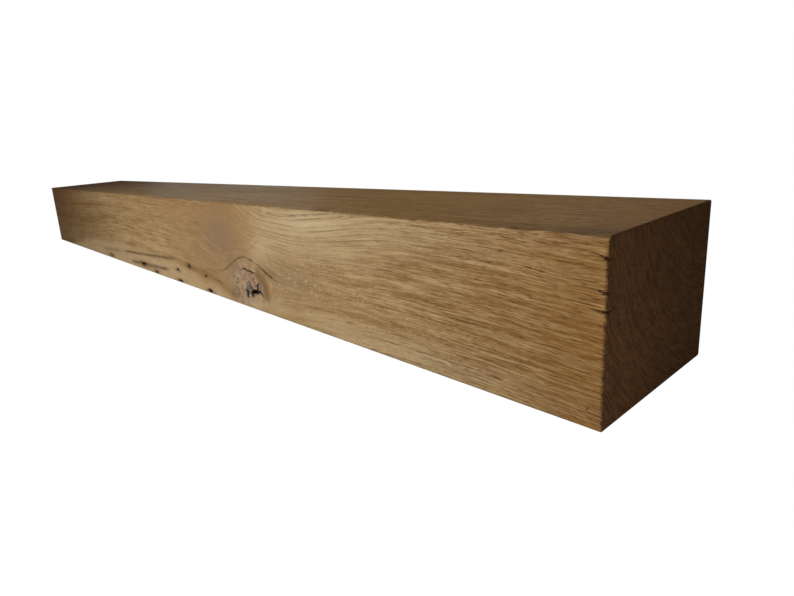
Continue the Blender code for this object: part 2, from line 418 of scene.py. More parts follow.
ragged_along = along + RAGGED * waves(5, [(3, 11), (2, 8)], along, up)
ragged_up = up + RAGGED * waves(6, [(3, 11), (2, 8)], along, up)
openings = np.zeros(shape)
for hollow in knot_hollows + worm_holes:
    openings = np.maximum(openings, hollow_depth(ragged_along, ragged_up, *hollow))
lap = hollow_depth(ragged_along, ragged_up, KNOT_ALONG + KNOT_LAP[0], KNOT_UP + KNOT_LAP[1], *KNOT_LAP[2:])
for width, depth, path in knot_cracks:
    openings = np.maximum(openings, crack_depth(ragged_along, ragged_up, width, depth, path))
for pin_along, pin_up, radius in PIN_HOLES:
    distance = np.hypot(along - KNOT_ALONG - pin_along, up - KNOT_UP - pin_up)
    openings = np.maximum(openings, PIN_DEPTH * np.clip(PIN_RIM - distance / radius, 0, 1))
openings, lap = openings * on_front, lap * on_front

checks = np.zeros(shape)
for down_tip, down_arris, run, width, end_run in END_CHECKS:
    arris, tip = HEIGHT - down_arris, HEIGHT - down_tip
    from_end = LENGTH - along
    on_show = check_depth(from_end, up, run, arris, tip, width) * (from_end < run) * (behind < CHECK_NEAR)
    on_cut = check_depth(behind, up, end_run, arris, arris, width) * (from_end < CHECK_NEAR)
    checks = np.maximum(checks, np.maximum(on_show, on_cut))
print(f"deepest opening {openings.max():.1f} mm, deepest check {checks.max():.1f} mm")

# %% [markdown]
# ## The torn arris and the fine relief
#
# Along the arris between the show face and the right end the saw tore small splinters out. They come from
# the same random draws as in the CAD solid. A tear cuts the corner off square, so a point near the arris is
# pushed back until its two distances, from the end and from the show face, add up to the tear's reach.
#
# The planed faces lie a little inside the solid's. They aren't dead flat either: the plane left them a few
# hundredths of a millimetre hollow, and the end of the timber still shows the saw. The hard late wood of
# each ring stands proud by so little that the finish does it.

# %% Tears and relief
TEAR_RUN, TEAR_GAP, TEAR_REACH, TEAR_PEAK = (1.8, 6.2), (0.6, 6.5), (1.1, 2.1), (0.25, 0.7)
TEAR_TIP = 0.15
TEAR_SEED = 11


def tear_reach(up):
    """How far the tears reach at each height: spindles from random draws, from the bottom upwards."""
    chance = random.Random(TEAR_SEED)
    reached = np.zeros(up.shape)
    level = LONG_EASE + chance.uniform(*TEAR_GAP)
    while level + TEAR_RUN[1] < HEIGHT - FRONT_TOP_EASE - CORNER_WEAR:
        run, reach, peak = (chance.uniform(*spread) for spread in (TEAR_RUN, TEAR_REACH, TEAR_PEAK))
        spindle = np.interp(
            up, [level, level + peak * run, level + run], [TEAR_TIP, 1, TEAR_TIP], left=0, right=0
        )
        reached = np.maximum(reached, reach * spindle)
        level += run + chance.uniform(*TEAR_GAP)
    return reached


PLANED_OFF, PLANED_HOLLOW = 0.15, 0.015
SAW_RELIEF = 0.12

torn = np.clip(tear_reach(up) - (LENGTH - along) - behind, 0, None) / 2
planed = PLANED_OFF + PLANED_HOLLOW * waves(21, [(180, 700), (60, 240), (60, 240)], along, behind, up)
saw = SAW_RELIEF * waves(22, [(18, 70), (5, 12)], behind, up) * on_end
# Only what faces straight out is planed or sawn. The rounded arrises are left as they are.
flat = np.abs(outward).max(-1) > 0.99
sunk = np.maximum(openings, lap) + checks + planed * flat * (1 - on_end)
sunk = sunk + np.clip(saw + SAW_RELIEF, 0, None) * (on_end > 0.9)
skin = place - outward * sunk[..., None]
skin[..., 0] -= torn
skin[..., 1] += torn
print(f"tears reach {torn.max() * 2:.1f} mm")

# %% [markdown]
# ## The run of the grain
#
# A beam is cut out of a trunk, so its grain is known once the pith, the trunk's centre line, is known. Here
# it lies outside the timber, behind it and above it, as the curved rings on the right end show. The distance
# from the pith tells which growth ring a point is in. On the show face the rings are cut aslant and show as
# long lines, which aren't level. The trunk bends a little. Above the branch, on its left, the lines step down
# steeply, and round the branch itself they part as water parts round a pile. So before the distance is taken,
# every point is lowered by how much the lines are lifted there.
#
# Each point keeps three numbers as the attribute grain: along the fibres, out from the pith, and round the
# ring. Every pattern in the wood is drawn in those three directions, in millimetres, so lines and pores
# follow the flow on the show face and turn into rings and dots on the sawn ends.

# %% Grain directions
PITH_BEHIND, PITH_UP = 234.0, 245.0
GRAIN_RISE = [
    (0, -12), (200, -6), (400, -1.5), (530, 0), (650, -2), (780, -6), (880, -11), (940, -15), (1000, -17),
    (1110, -18), (1130, -18), (1180, -15), (1300, -11), (1380, -10.5), (1440, -11), (1524, -16),
]
BRANCH_ALONG, BRANCH_UP, BRANCH_HALF_WIDTH, BRANCH_HALF_HEIGHT = 1036.0, 40.0, 56.0, 32.0
STEP_HEIGHT, STEP_FROM, STEP_FULL = 29.0, 30.0, 115.0
STEP_ALONG, STEP_LEAN, STEP_HALF_RUN = 845.0, 1.4, 72.0
CLIMB_HEIGHT, CLIMB_ALONG, CLIMB_UP = 14.0, (1140, 1320), (60, 125)
SWAY_DEPTH = 70.0


def grain_lift(along, behind, up):
    """How far the grain lines are lifted: the trunk's slow bend, the step, a climb, and the parting.

    The step is a soft step along the beam whose place leans right with height. The parting is the flow round
    an oval: a line's distance from the branch's middle, divided by the squared distance in ovals. Right of
    the branch the upper lines climb back. All three fade into the timber, where the branch was thinner."""
    place = STEP_ALONG + STEP_LEAN * up
    left_of_step = 1 - soft_step(along, place - STEP_HALF_RUN, place + STEP_HALF_RUN)
    step = STEP_HEIGHT * soft_step(up, STEP_FROM, STEP_FULL) * left_of_step
    ovals = ((along - BRANCH_ALONG) / BRANCH_HALF_WIDTH) ** 2 + ((up - BRANCH_UP) / BRANCH_HALF_HEIGHT) ** 2
    parting = (up - BRANCH_UP) / np.maximum(ovals, 1)
    climb = CLIMB_HEIGHT * soft_step(along, *CLIMB_ALONG) * soft_step(up, *CLIMB_UP)
    return eased(along, GRAIN_RISE, 60) + bell(behind, SWAY_DEPTH) * (step + parting + climb)


height = up - grain_lift(along, behind, up) - PITH_UP
grain = np.stack([
    along,
    np.hypot(behind - PITH_BEHIND, height),
    np.arctan2(height, behind - PITH_BEHIND) * PITH_BEHIND,
], axis=-1)
print(f"rings cut: from {grain[..., 1].min():.0f} to {grain[..., 1].max():.0f} mm out from the pith")

# %% [markdown]
# ## What the wood has been marked by
#
# Some things don't follow from the grain. The knot's own wood is pinker than the rest and has its rings
# round the branch. Its heart has rotted grey and black, and rust-brown sap has run out beside it. Along the
# lower edge there is a band of pale sapwood, the outermost wood of the trunk, which is what the beetles were
# after. Dark streaks run out of their holes along the grain, and a few broad patches are paler or greyer.
# High on the right of the show face a pale patch is a painted highlight, and towards the left end the wood
# is painted darker as painted shade, over browner wood. Where the knot's hollow reaches past its cut, black
# is painted as painted shade.
# Each is laid down as a soft spot or a soft line, and kept as an attribute that the finish below reads.
#
# Four of the marks say where a pattern shows: bold rings, pale flecks, grey specks of mould, and calm wood
# with few pores.

# %% Soft spots on the show face
# (along, up, half width, half height, strength)
SPOTS = {
    "stained": [
        (634, 11, 24, 5, 1.0), (655, 12, 60, 5, 0.5), (696, 4, 14, 5, 0.7), (796, 21, 13, 4, 0.55),
        (843, 34, 14, 5, 0.65), (800, 3, 17, 4, 0.7), (912, 4, 16, 4, 0.7), (903, 26, 10, 3, 0.45),
        (440, 6, 16, 5, 0.8), (560, 44, 26, 2.5, 0.45), (1000, 12, 12, 8, 0.3), (690, 33, 60, 4, 0.3),
    ],
    "rusted": [
        (1070, 45, 8, 7, 0.55), (1079, 32, 9, 10, 0.75), (1090, 57, 16, 8, 0.35),
        (987, 15, 9, 7, 0.55), (1008, 56, 13, 9, 0.22), (1052, 49, 12, 3, 0.3), (430, 8, 26, 5, 0.3),
    ],
    "ashen": [
        (1032, 26, 9, 11, 1.0), (1058, 34, 8, 6, 0.75), (997, 38, 9, 6, 0.15), (1002, 27, 9, 9, 0.25),
        (1066, 31, 5, 4, 0.6), (1046, 34, 5, 5, 0.5), (962, 96, 48, 38, 0.5), (440, 22, 120, 14, 0.2),
        (1130, 56, 62, 22, 0.5), (990, 46, 22, 16, 0.2), (1006, 46, 15, 18, 0.35),
    ],
    # Dark rot round the knot's hollows, with painted shade where the hollow reaches further than the mesh is
    # cut.
    "rot_and_hole_shade": [
        (1042, 21.5, 5, 3.5, 0.9),
    ],
    "pinked": [
        (905, 90, 90, 60, 0.75), (962, 92, 46, 36, 1.0), (800, 132, 170, 24, 0.45), (985, 120, 60, 40, 0.65),
        (1000, 52, 26, 22, 0.6), (880, 30, 60, 20, 0.3), (1150, 66, 60, 42, 0.35),
    ],
    # Paler wood; the spots from 1115 to 1330 mm along and over 100 mm up are a painted highlight on it.
    "paler_wood_and_highlight": [
        (1079, 88, 24, 12, 0.8), (1180, 130, 92, 18, 0.95), (1115, 106, 50, 20, 0.5),
        (1200, 106, 100, 24, 0.45), (1330, 130, 100, 18, 0.34),
        (1045, 8, 34, 9, 0.9), (1098, 16, 34, 11, 0.45), (1330, 12, 140, 13, 0.55), (1225, 10, 70, 13, 0.4),
    ],
    "bold": [
        (1190, 126, 110, 24, 1.0), (1110, 108, 40, 22, 0.8), (1290, 106, 80, 18, 0.45),
        (1440, 28, 110, 12, 1.0), (1450, 118, 80, 12, 0.3), (1190, 45, 60, 20, 0.25),
    ],
    "flecked": [(1180, 62, 110, 34, 1.0), (1330, 34, 120, 34, 0.7), (1180, 110, 110, 30, 0.5)],
    "calm": [
        (985, 100, 75, 50, 0.8), (1036, 30, 75, 45, 0.8), (890, 75, 90, 70, 0.65), (1112, 60, 60, 32, 0.75),
        (1385, 92, 85, 24, 0.35),
    ],
    "speckled": [(1000, 30, 17, 22, 1.0), (1056, 38, 16, 8, 0.7), (990, 15, 12, 12, 0.6)],
}
print(sum(map(len, SPOTS.values())), "soft spots for", len(SPOTS), "marks")

# %% Soft lines on the show face
# (strength, half width, path)
LINES = {
    "stained": [
        (0.8, 1.1, [(962, 44), (974, 48), (985, 54), (1001, 63), (1015, 69), (1026, 71.5), (1037, 72),
                     (1057, 67.5)]),
        (0.9, 0.6, [(1014, 50.5), (1018, 52.2), (1027, 55.4), (1036, 53.4)]),
        (0.35, 1.2, [(905, 40), (930, 39), (950, 40), (962, 44)]),
        (0.4, 0.9, [(1087, 91), (1092, 80), (1098, 71)]),
        (0.3, 0.9, [(1028, 79), (1050, 86), (1068, 97)]),
        (0.75, 3.0, [(560, 9), (632, 11), (656, 13), (690, 14), (723, 15), (765, 17)]),
        (0.7, 2.7, [(522, 25), (560, 27), (600, 29), (660, 32), (720, 36), (790, 39)]),
        (0.3, 2.0, [(806, 31), (843, 34), (880, 32)]),
        (0.35, 2.6, [(390, 16), (440, 20), (510, 24)]),
        (0.4, 1.3, [(885, 37), (905, 33), (930, 26), (962, 23)]),
        (0.6, 0.7, [(1065, 142), (1085, 138), (1110, 135), (1130, 134), (1160, 136), (1240, 144)]),
        (0.7, 0.7, [(1446, 144.4), (1457, 143.2), (1466, 141.6), (1474, 141.2)]),
        (0.95, 0.5, [(1511.2, 133.8), (1513, 132.4), (1518, 130.7), (1523, 129.8)]),
        (0.9, 0.5, [(1512.2, 107.4), (1515, 106.2), (1522, 105.0)]),
        (0.9, 0.5, [(1512.2, 92.8), (1515, 91.6), (1523, 90.2)]),
        (0.8, 0.6, [(1512, 13), (1513.5, 17)]),
        # Down the whole right arris runs a dark line.
        (0.65, 1.1, [(1523.6, 2), (1523.6, 143)]),
    ],
    # Dark rot, with painted shade where the hollow reaches past the cut.
    "rot_and_hole_shade": [
        (0.9, 1.1, [(1035, 39), (1040, 32.5), (1045, 26)]),
        (0.95, 1.5, [(1027, 26), (1027.5, 19), (1028.5, 13)]),
        (1.0, 2.2, [(1040, 24.5), (1049, 24), (1058, 27)]),
        (0.95, 1.7, [(1044, 25), (1040, 17)]),
        (0.9, 1.1, [(1054, 27), (1065, 25.7), (1072, 21.5)]),
        (0.85, 1.1, [(1056, 26), (1058, 35), (1062, 40)]),
    ],
    "rusted": [(0.7, 9.5, [(1056, 52), (1068, 48), (1074, 42), (1079, 34), (1080, 27), (1073, 19)])],
    "paler_wood_and_highlight": [
        (0.32, 1.5, [(902, 95), (930, 86), (967, 72)]),
        (0.65, 1.2, [(1120, 92), (1203, 91.5), (1250, 92.4), (1310, 91)]),
        (0.4, 1.5, [(1035, 75), (1052, 72), (1066, 68)]),
    ],
}
print(sum(map(len, LINES.values())), "soft lines")

# %% The knot's own wood, the sapwood and a few more spots
# The knot's wood: its middle, half its size, and how much longer than high its rings are.
KNOT_MIDDLE, KNOT_HALF, KNOT_STRETCH = (1034.0, 27.0), (60.0, 45.0), 1.2

# Sapwood: how high it reaches up the show face. It is the wood furthest from the pith, so it goes on below.
SAPWOOD_TOP = [
    (60, -8), (160, 12), (280, 32), (400, 40), (520, 42), (640, 39), (760, 40), (860, 30), (960, 12),
    (1000, -8),
]

# In the left hollow the floor is grey wood and catches the light, so the painted shade of the openings is
# kept off it there.
GREY_FLOOR = [(1030.5, 22.5, 6, 7, 0.75)]

# Below its heart, on the right, the knot is as pale as the trunk.
KNOT_PALE = [(1054, 6, 30, 11, 0.7)]

# On the top, measured back from the show face: dark marks near the arris.
TOP_SPOTS = [(1203, 10, 14, 12, 0.4), (1512, 8, 24, 24, 0.5), (1450, 5, 60, 7, 0.35)]
print("sapwood up to", max(top for _, top in SAPWOOD_TOP), "mm")

# %% Spots and strokes
def spots(along, up, places):
    """Soft oval spots laid over each other: each is a bell of the distance in half widths and heights."""
    left = np.ones(along.shape)
    for middle_along, middle_up, half_width, half_height, strength in places:
        distance = np.hypot((along - middle_along) / half_width, (up - middle_up) / half_height)
        left = left * (1 - strength * bell(distance, 1))
    return 1 - left


def strokes(along, up, lines):
    """Soft lines laid over each other: each is a bell of the distance from its path, fading at its ends."""
    left = np.ones(along.shape)
    for strength, half_width, path in lines:
        distance, share = near_path(along, up, path)
        fade = soft_step(np.minimum(share, 1 - share), -0.02, 0.12)
        left = left * (1 - strength * fade * bell(distance, half_width))
    return 1 - left


# %% Lay the marks down
# Where each sets in and where it is whole: in shares, in mm towards the bark, or in mm from the arris.
KNOT_EDGE, CUT_EDGE, SAP_EDGE, RUBBED_EDGE = (1.04, 0.66), (0.35, 0.75), (-3.0, 9.0), (2.6, 0.3)

branch_share = np.hypot(
    (ragged_along - KNOT_MIDDLE[0]) / KNOT_HALF[0], (ragged_up - KNOT_MIDDLE[1]) / KNOT_HALF[1]
) + 0.05 * waves(31, [(20, 60), (15, 50)], along, up)
# A point lies on a face, so the second smallest of these three is its distance from the nearest arris.
edge_in = np.sort(np.stack([
    np.minimum(along, LENGTH - along), np.minimum(behind, DEPTH - behind), np.minimum(up, HEIGHT - up),
]), axis=0)[1]
sap_top = eased(along, SAPWOOD_TOP, 30) + 2.5 * waves(32, [(40, 160)], along)
sap_depth = np.hypot(behind - PITH_BEHIND, up - PITH_UP) - np.hypot(PITH_BEHIND, sap_top - PITH_UP)
on_top = np.clip(outward[..., 2], 0, 1) ** 2

marks = {name: spots(along, up, places) * on_front for name, places in SPOTS.items()}
for name, lines in LINES.items():
    marks[name] = np.maximum(marks[name], strokes(along, up, lines) * on_front)
marks["stained"] = np.maximum(marks["stained"], spots(along, behind, TOP_SPOTS) * on_top)

# The rest follow from the branch, the openings, the pith, the place in the beam and its arrises.
marks |= {
    "in_knot": soft_step(branch_share, *KNOT_EDGE) * on_front * (1 - spots(along, up, KNOT_PALE)),
    # Openings, checks and tears are painted darker the deeper they are: painted shade in the recesses.
    "openings_painted_shade": soft_step(openings, 0.08, 1.2) * (1 - spots(along, up, GREY_FLOOR))
    + 0.4 * soft_step(checks, 0.5, 2.4) + 0.7 * soft_step(torn, 0.05, 0.4),
    "sapwood": soft_step(sap_depth, *SAP_EDGE),
    "combed": 0.24 + 0.3 * soft_step(along, 1150, 1420) + 0.46 * soft_step(along, 1300, 1450),
    # Browner wood towards the left end, with painted shade of the light falling off there.
    "browner_and_shaded_left": (1 - soft_step(along, -60, 620)) * (0.68 + 0.32 * soft_step(up, 0, 110)),
    "gilded": 0.6 * soft_step(along, 1310 - 450 * on_top, 1500 - 200 * on_top)
    + 0.4 * soft_step(along, 1440, 1522),
    "end_grain": soft_step(on_end, *CUT_EDGE),
    "rubbed": soft_step(edge_in, *RUBBED_EDGE) + soft_step(torn, 0.0, 0.3),
}
knot_place = np.stack([(along - KNOT_MIDDLE[0]) / KNOT_STRETCH, up - KNOT_MIDDLE[1], behind], axis=-1)
for name, values in marks.items():
    marks[name] = np.clip(values, 0, 1)
    print(f"{name}: on {100 * (marks[name] > 0.2).mean():.1f}% of the points")

# %% [markdown]
# ## From the grid to a mesh
#
# The rows are joined by four-sided faces, the last point of each row to its first, and each end is closed by
# a fan of triangles round one middle point. The order of the corners makes every face look outwards.

# %% Make the mesh
def closed_skin(name, rows, left_middle, right_middle):
    """A closed mesh from rows of points, with a middle point at either end, all in metres."""
    count, around = rows.shape[:2]
    number = np.arange(count * around).reshape(count, around)
    after = np.roll(number, -1, axis=1)
    quads = np.stack([number[:-1], number[1:], after[1:], after[:-1]], axis=-1).reshape(-1, 4)
    left, right = count * around, count * around + 1
    left_fan = np.stack([np.full(around, left), number[0], after[0]], axis=-1)
    right_fan = np.stack([number[-1], np.full(around, right), after[-1]], axis=-1)
    points = np.concatenate([rows.reshape(-1, 3), [left_middle], [right_middle]])
    mesh = bpy.data.meshes.new(name)
    mesh.from_pydata(points.tolist(), [], quads.tolist() + left_fan.tolist() + right_fan.tolist())
    mesh.shade_smooth()
    mesh.set_sharp_from_angle(angle=math.radians(55))
    return mesh


def keep(mesh, name, kind, values):
    """Keeps an attribute on the mesh: the grid's values, then those of the two middle points."""
    field = "vector" if kind == "FLOAT_VECTOR" else "value"
    flat = values.reshape(len(skin) * len(loop_up), -1)
    middles = [flat[:len(loop_up)].mean(0), flat[-len(loop_up):].mean(0)]
    mesh.attributes.new(name, kind, "POINT").data.foreach_set(field, np.concatenate([flat, middles]).ravel())


metres = (skin + lowest) * MM
cap_middles = [metres[row].mean(0) for row in (0, -1)]
mesh = closed_skin("oak_timber", metres, *cap_middles)
keep(mesh, "grain", "FLOAT_VECTOR", grain)
keep(mesh, "knot_place", "FLOAT_VECTOR", knot_place)
for name, values in marks.items():
    keep(mesh, name, "FLOAT", values)
beam = bpy.data.objects.new("oak_timber", mesh)
scene.collection.objects.link(beam)
mesh.calc_loop_triangles()
print(len(mesh.vertices), "points,", len(mesh.loop_triangles), "triangles")

# %% [markdown]
# ## The finish: planed and oiled European oak
#
# Oak is ring-porous. Every spring it grows a band of wide pores, and then dense, smooth late wood. The oil
# sinks into the open pores and leaves them dark, so the planed face shows fine dark dashes along the grain,
# gathered into lines, on honey-coloured wood with a low satin sheen. Sawn ends drink far more oil and go deep
# brown. The knot is denser, pinker, and has rings of its own.
#
# All scales are real sizes in millimetres, turned into "per millimetre" for the noise. A pore is only 0.3 mm
# wide, too fine for the picture, so its dashes are drawn 0.6 to 1 mm wide.

# %% Helpers for the finish
def colour(code):
    """A colour written as six sRGB hex digits, as the linear one that the shader wants."""
    channels = np.array([int(code[start:start + 2], 16) for start in (0, 2, 4)]) / 255
    linear = np.where(channels <= 0.04045, channels / 12.92, ((channels + 0.055) / 1.055) ** 2.4)
    return (*linear.tolist(), 1.0)


def add(tree, kind, links, out=0, **settings):
    """Adds a node, with its settings, and gives back one of its outputs.

    Links says, for each input, which output feeds it or which plain value it has."""
    made = tree.nodes.new("ShaderNode" + kind)
    for name, value in settings.items():
        setattr(made, name, value)
    for socket, source in links.items():
        if isinstance(source, bpy.types.NodeSocket):
            tree.links.new(source, made.inputs[socket])
        else:
            made.inputs[socket].default_value = source
    return made.outputs[out]


def overlaid(tree, base, layers):
    """Lays colours over a base in turn: each mixes in by its share times its strength, at most 1."""
    for share, strength, code in layers:
        strong = add(tree, "Math", {0: share, 1: strength}, operation="MULTIPLY", use_clamp=True)
        base = add(tree, "Mix", {0: strong, 6: base, 7: colour(code)}, 2, data_type="RGBA")
    return base


# %% The oak, and its patterns along the grain
oak = bpy.data.materials.new("planed_oiled_oak")
oak.use_nodes = True
tree = oak.node_tree
shader = tree.nodes["Principled BSDF"]
for socket, value in {"IOR": 1.5, "Metallic": 0.0, "Specular IOR Level": 0.35}.items():
    shader.inputs[socket].default_value = value

# Each pattern's grain size in millimetres along the fibres, out from the pith and round the ring, and how
# many finer layers lie on top of it.
PATTERNS = {
    "wander": (300, 11, 60, 2),
    "ring power": (160, 6, 20, 2),
    "ring breaks": (60, 5, 5, 2),
    "pores": (17, 1.0, 1.0, 3),
    "fine pores": (7, 0.6, 0.6, 2),
    "streaks": (520, 6, 18, 2),
    "bands": (75, 2.6, 2.6, 2),
    "lines": (40, 0.8, 0.8, 3),
    "cloud": (130, 34, 40, 2),
    "blots": (26, 9, 12, 3),
    "end blots": (60, 2.4, 16, 4),
    "flecks": (4.5, 1.2, 1.4, 1),
    "glints": (15, 0.8, 0.8, 2),
    "ragged": (9, 1.6, 1.6, 3),
}

# Which stretch of a pattern counts: none of it below the first value, all of it above the second.
STRETCHES = {
    "ring power": (0.38, 0.66), "ring breaks": (0.36, 0.56), "pores": (0.5, 0.64), "cloud": (0.35, 0.65),
    "fine pores": (0.52, 0.66), "flecks": (0.58, 0.68), "glints": (0.56, 0.68), "ragged": (0.34, 0.62),
    "end blots": (0.2, 0.8),
}
print(len(PATTERNS), "patterns")

# %% Add the patterns
fibres = add(tree, "Attribute", {}, "Vector", attribute_name="grain")
mark = {name: add(tree, "Attribute", {}, "Fac", attribute_name=name) for name in marks}
pattern = {}
for name, (*sizes, layers) in PATTERNS.items():
    stretched = add(tree, "Mapping", {"Vector": fibres, "Scale": [1 / size for size in sizes]})
    pattern[name] = add(tree, "TexNoise", {
        "Vector": stretched, "Scale": 1.0, "Detail": layers, "Roughness": 0.55,
    })
for name, (none, full) in STRETCHES.items():
    pattern[name] = add(tree, "MapRange", {
        "Value": pattern[name], "From Min": none, "From Max": full,
    }, interpolation_type="SMOOTHSTEP")
print(len(tree.nodes), "nodes with the patterns")

# %% [markdown]
# ### Growth rings and pores
#
# Which ring a point is in is its distance out from the pith, divided by the ring's width. The part after the
# point then runs from 0 in spring to 1 in winter. Early wood is the first half of it, and fades. The width
# isn't even, so the distance first wanders by a few millimetres. Most rings are faint, and the pores show in
# them as broken dashes, but where the rings are bold the dashes run together into lines.

# %% Rings and pores
RING_PITCH, RING_WANDER = 2.7, 6.0

distance_out = add(tree, "SeparateXYZ", {0: fibres}, "Y")
wandered = add(tree, "Math", {
    0: pattern["wander"], 1: RING_WANDER, 2: distance_out,
}, operation="MULTIPLY_ADD")
rings_out = add(tree, "Math", {0: wandered, 1: RING_PITCH}, operation="DIVIDE")
ring_share = add(tree, "Math", {0: rings_out}, operation="FRACT")
early_wood = add(tree, "MapRange", {
    "Value": ring_share, "From Max": 0.55, "To Min": 1.0, "To Max": 0.0,
}, interpolation_type="SMOOTHSTEP")
early_line = add(tree, "Math", {0: early_wood, 1: 1.6}, operation="POWER")

faint_pores = add(tree, "Math", {0: pattern["pores"], 1: 0.7, 2: 0.2}, operation="MULTIPLY_ADD")
faint_rings = add(tree, "Math", {0: early_wood, 1: pattern["ring power"]}, operation="MULTIPLY")
faint_rings = add(tree, "Math", {0: faint_rings, 1: faint_pores}, operation="MULTIPLY")
bold_rings = add(tree, "Math", {0: early_line, 1: mark["bold"]}, operation="MULTIPLY")
bold_breaks = add(tree, "Math", {0: pattern["ring breaks"], 1: 0.75, 2: 0.25}, operation="MULTIPLY_ADD")
bold_rings = add(tree, "Math", {0: bold_rings, 1: bold_breaks}, operation="MULTIPLY")
dashes = faint_rings
for name, (least, more) in {"pores": (0.05, 0.55), "fine pores": (0.03, 0.66)}.items():
    share = add(tree, "Math", {0: mark["combed"], 1: more, 2: least}, operation="MULTIPLY_ADD")
    dashes = add(tree, "Math", {0: pattern[name], 1: share, 2: dashes}, operation="MULTIPLY_ADD")
rough_wood = add(tree, "Math", {0: mark["calm"], 1: -0.75, 2: 1.0}, operation="MULTIPLY_ADD")
dashes = add(tree, "Math", {0: dashes, 1: rough_wood}, operation="MULTIPLY")
dashes = add(tree, "Math", {0: dashes, 1: bold_rings}, operation="MAXIMUM")
print(len(tree.nodes), "nodes with the rings and pores")

# %% [markdown]
# ### The wood's own colour
#
# Between a browner and a paler oak, the colour swings with the patterns along the grain: broad streaks
# everywhere, and narrow bands and fine lines that stand out most near the right end, where the light combs
# them. Over that go, one after another, the broad changes of colour.

# %% Colour of the wood
centred = add(tree, "Math", {0: pattern["streaks"], 1: 1.6, 2: -0.8}, operation="MULTIPLY_ADD")
swing = add(tree, "Math", {0: centred, 1: rough_wood, 2: 0.5}, operation="MULTIPLY_ADD")
combed = add(tree, "Math", {0: mark["combed"], 1: rough_wood}, operation="MULTIPLY")
for name, height in {"bands": 4.5, "lines": 7.6}.items():
    centred = add(tree, "Math", {0: pattern[name], 1: height, 2: -height / 2}, operation="MULTIPLY_ADD")
    swing = add(tree, "Math", {0: centred, 1: combed, 2: swing}, operation="MULTIPLY_ADD")
blotted = add(tree, "Math", {0: pattern["blots"], 1: 0.6, 2: -0.3}, operation="MULTIPLY_ADD")
swing = add(tree, "Math", {0: swing, 1: blotted}, operation="ADD", use_clamp=True)
wood = add(tree, "Mix", {0: swing, 6: colour("8D6A37"), 7: colour("CCAF80")}, 2, data_type="RGBA")

flecks = add(tree, "Math", {0: pattern["flecks"], 1: mark["flecked"]}, operation="MULTIPLY")
glints = add(tree, "Math", {0: pattern["glints"], 1: combed}, operation="MULTIPLY")
wood = overlaid(tree, wood, [
    # Browner wood with painted shade towards the left end.
    (pattern["cloud"], 0.3, "AC8A5C"), (mark["browner_and_shaded_left"], 0.88, "74491B"), (mark["sapwood"], 0.78, "D2B68C"),
    # Paler wood, with a painted highlight high on the right of the show face.
    (mark["pinked"], 0.54, "8A6244"), (mark["gilded"], 0.66, "93641D"), (mark["paler_wood_and_highlight"], 0.68, "D8C6A3"),
    (mark["ashen"], 0.62, "85796A"), (flecks, 0.65, "DAC59F"), (glints, 0.34, "DEC18B"),
    (dashes, 0.7, "62390F"),
])
print(len(tree.nodes), "nodes with the wood's own colour")

# %% [markdown]
# ### The knot, the sawn ends and the marks
#
# The knot has rings round the branch, fine cracks out from its heart, and pinker wood with grey specks where
# mould went in. The sawn ends show the same rings and pores, soaked in oil. Last come the marks that hide the
# grain under them: rust, mould, the grey heart, rot with painted shade where the hollow reaches past its cut,
# brown streaks, rubbed arrises, and painted shade in the openings.

# %% Patterns in the knot
KNOT_RING_PITCH, KNOT_RING_WANDER = 2.6, 11.0
CLOUDS_PER_MM, SPECKS_PER_MM, SPOKES_ROUND = 0.11, 0.36, 9.0

around_branch = add(tree, "Attribute", {}, "Vector", attribute_name="knot_place")
flat_place = add(tree, "VectorMath", {0: around_branch, 1: (1.0, 1.0, 0.0)}, operation="MULTIPLY")
from_branch = add(tree, "VectorMath", {0: flat_place}, "Value", operation="LENGTH")
knot_cloud = add(tree, "TexNoise", {
    "Vector": around_branch, "Scale": CLOUDS_PER_MM, "Detail": 4.0, "Roughness": 0.6,
})
knot_out = add(tree, "Math", {
    0: knot_cloud, 1: KNOT_RING_WANDER, 2: from_branch,
}, operation="MULTIPLY_ADD")
knot_turns = add(tree, "Math", {0: knot_out, 1: KNOT_RING_PITCH}, operation="DIVIDE")
knot_share = add(tree, "Math", {0: knot_turns}, operation="FRACT")
knot_rings = add(tree, "MapRange", {
    "Value": knot_share, "From Max": 0.8, "To Min": 1.0, "To Max": 0.0,
}, interpolation_type="SMOOTHSTEP")
spoke_turn = add(tree, "VectorMath", {0: flat_place}, operation="NORMALIZE")
spokes = add(tree, "TexNoise", {"Vector": spoke_turn, "Scale": SPOKES_ROUND, "Detail": 3.0})
specks = add(tree, "TexNoise", {
    "Vector": around_branch, "Scale": SPECKS_PER_MM, "Detail": 2.0, "Roughness": 0.6,
})
knot_paler, spokes, specks = (
    add(tree, "MapRange", {"Value": noise, "From Min": none, "From Max": full},
        interpolation_type="SMOOTHSTEP")
    for noise, none, full in [(knot_cloud, 0.4, 0.6), (spokes, 0.5, 0.66), (specks, 0.56, 0.66)]
)
specks = add(tree, "Math", {0: specks, 1: mark["speckled"]}, operation="MULTIPLY")
print(len(tree.nodes), "nodes with the knot's patterns")

# %% Knot, ends and marks
KNOT_COVER, END_RINGS, END_BLOTS = 0.78, 0.7, 0.7

knot_wood = add(tree, "Mix", {0: knot_paler, 6: colour("9C8067"), 7: colour("C4A98B")}, 2, data_type="RGBA")
knot_wood = overlaid(tree, knot_wood, [(knot_rings, 0.22, "6A4F36"), (spokes, 0.3, "6B543D")])
in_knot = add(tree, "Math", {0: mark["in_knot"], 1: KNOT_COVER}, operation="MULTIPLY")
wood = add(tree, "Mix", {0: in_knot, 6: wood, 7: knot_wood}, 2, data_type="RGBA")

end_rings = add(tree, "Math", {0: dashes, 1: END_RINGS}, operation="MULTIPLY")
end_rings = add(tree, "Math", {
    0: pattern["end blots"], 1: END_BLOTS, 2: end_rings,
}, operation="MULTIPLY_ADD", use_clamp=True)
end_wood = add(tree, "Mix", {0: end_rings, 6: colour("67441F"), 7: colour("231709")}, 2, data_type="RGBA")
wood = add(tree, "Mix", {0: mark["end_grain"], 6: wood, 7: end_wood}, 2, data_type="RGBA")

